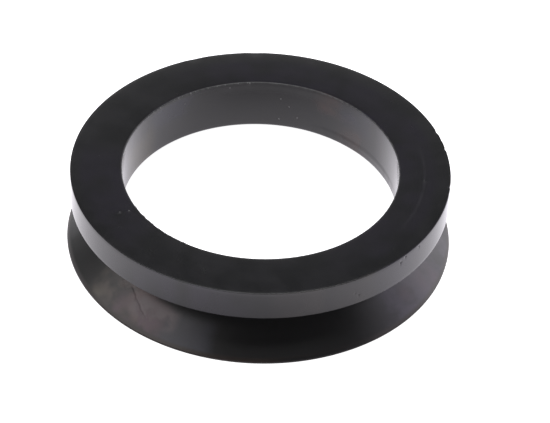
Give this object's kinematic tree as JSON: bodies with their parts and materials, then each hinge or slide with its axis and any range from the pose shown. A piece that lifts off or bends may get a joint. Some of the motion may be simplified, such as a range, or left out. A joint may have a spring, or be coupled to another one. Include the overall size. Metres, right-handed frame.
{
  "type": "v-ring shaft seal",
  "caption": "Rubber ring seal whose flat-backed body grips a shaft, with a thin conical lip beyond a V groove that runs on a flat face square to the shaft.",
  "frame": {"origin": "on the shaft axis, in the plane that the relaxed lip's edge touches, which is the surface that the ring lies on", "axes": "+Z along the shaft axis, from the lip towards the flat back of the body; X and Y are free, as the ring is round"},
  "size_m": [0.0308, 0.0308, 0.007],
  "materials": {
    "rubber": "black moulded nitrile rubber, matt on the back and satin on the band, groove, lip and bore"
  },
  "bodies": {
    "root": {"v_ring": "rubber"}
  },
  "joints": []
}
